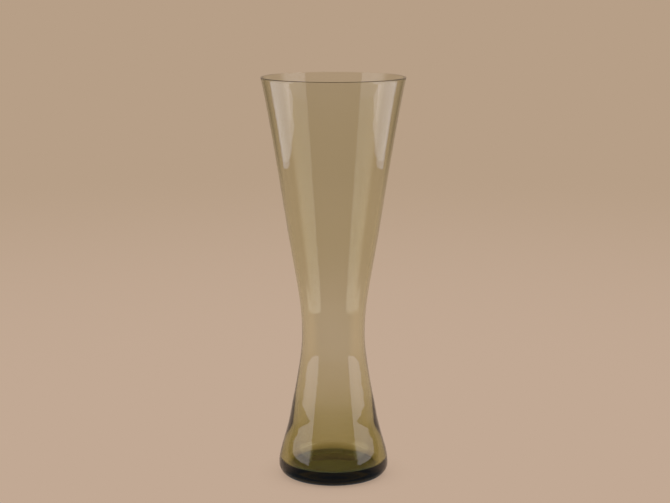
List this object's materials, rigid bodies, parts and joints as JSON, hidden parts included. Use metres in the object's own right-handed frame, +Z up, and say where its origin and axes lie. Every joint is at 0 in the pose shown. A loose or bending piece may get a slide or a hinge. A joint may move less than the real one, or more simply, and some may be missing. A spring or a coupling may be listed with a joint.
{
  "type": "hourglass vase",
  "caption": "Tall hourglass vase in clear smoke-green glass: flared bowl, narrow waist and bell foot on a thick round-heeled base; holds water and cut flowers.",
  "frame": {"origin": "centre of the standing ring, on the surface that the vase stands on", "axes": "+Z up along the vase's axis; X and Y lie any way round, because the vase is turned about Z"},
  "size_m": [0.096, 0.096, 0.27],
  "materials": {
    "smoke_glass": "clear gloss, olive-smoke tint, fire-polished lip"
  },
  "bodies": {
    "root": {"blown_wall": "smoke_glass", "heavy_base": "smoke_glass"}
  },
  "joints": []
}
